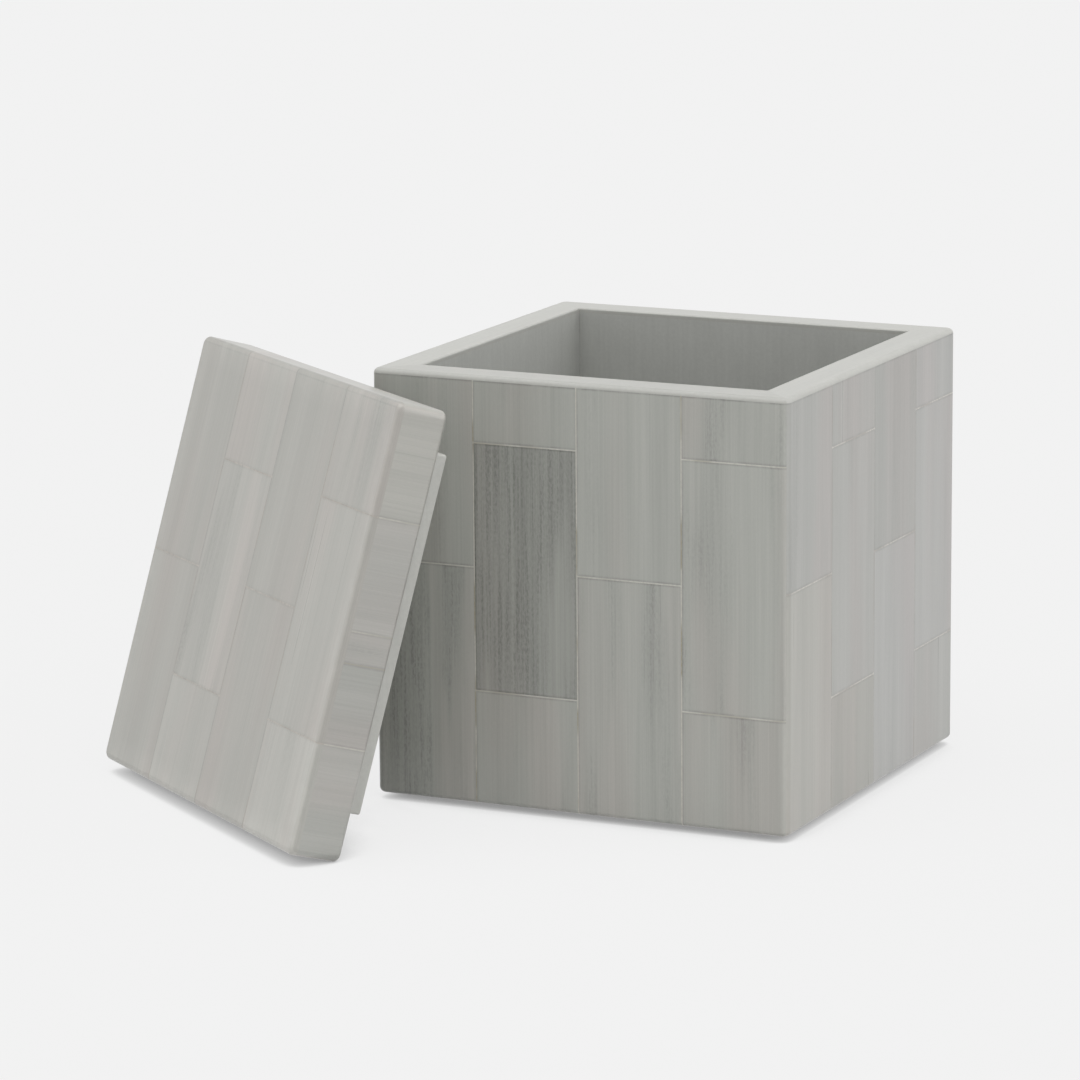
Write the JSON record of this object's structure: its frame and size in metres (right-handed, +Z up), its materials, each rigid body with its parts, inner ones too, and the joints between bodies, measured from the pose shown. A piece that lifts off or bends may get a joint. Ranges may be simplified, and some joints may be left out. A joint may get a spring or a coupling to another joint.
{
  "type": "lidded cotton pad canister",
  "caption": "Square open-topped canister clad in grey staggered tiles, with bumper feet and a lift-off plug lid leaning against its front left corner.",
  "frame": {"origin": "on the surface the canister stands on, under the centre of the box (not of the box with its lid)", "axes": "+Z up; +Y from the front face, which the lid leans beside, to the back; +X to the right of the front face"},
  "size_m": [0.193, 0.1836, 0.113],
  "materials": {
    "tile": "streaked grey horn-look resin tile, polished",
    "joint_filler": "pale resin, flush and polished",
    "painted_trim": "satin grey paint",
    "panel": "fibreboard, satin grey paint inside",
    "bumper": "translucent soft bumper"
  },
  "bodies": {
    "box": {"wall_front": "panel", "wall_right": "panel", "wall_back": "panel", "wall_left": "panel", "base_panel": "panel", "rim_front": "painted_trim", "rim_right": "painted_trim", "rim_back": "painted_trim", "rim_left": "painted_trim", "front_tiles_1": "tile", "front_tiles_2": "tile", "front_tiles_3": "tile", "front_tiles_4": "tile", "right_tiles_1": "tile", "right_tiles_2": "tile", "right_tiles_3": "tile", "right_tiles_4": "tile", "back_tiles_1": "tile", "back_tiles_2": "tile", "back_tiles_3": "tile", "back_tiles_4": "tile", "left_tiles_1": "tile", "left_tiles_2": "tile", "left_tiles_3": "tile", "left_tiles_4": "tile", "front_joint_filler": "joint_filler", "right_joint_filler": "joint_filler", "back_joint_filler": "joint_filler", "left_joint_filler": "joint_filler", "foot_front_left": "bumper", "foot_front_right": "bumper", "foot_back_left": "bumper", "foot_back_right": "bumper"},
    "lid": {"lid_core": "panel", "lid_plug": "painted_trim", "lid_top_tiles_1": "tile", "lid_top_tiles_2": "tile", "lid_top_tiles_3": "tile", "lid_top_tiles_4": "tile", "lid_top_joint_filler": "joint_filler", "lid_edge_front": "tile", "lid_edge_right": "tile", "lid_edge_back": "tile", "lid_edge_left": "tile", "lid_edge_joint_filler": "joint_filler"}
  },
  "joints": [
    {"name": "lid_lift", "type": "slide", "parent": "box", "child": "lid", "axis": [0, 0, 1], "range_m": [0, 0.125]}
  ]
}
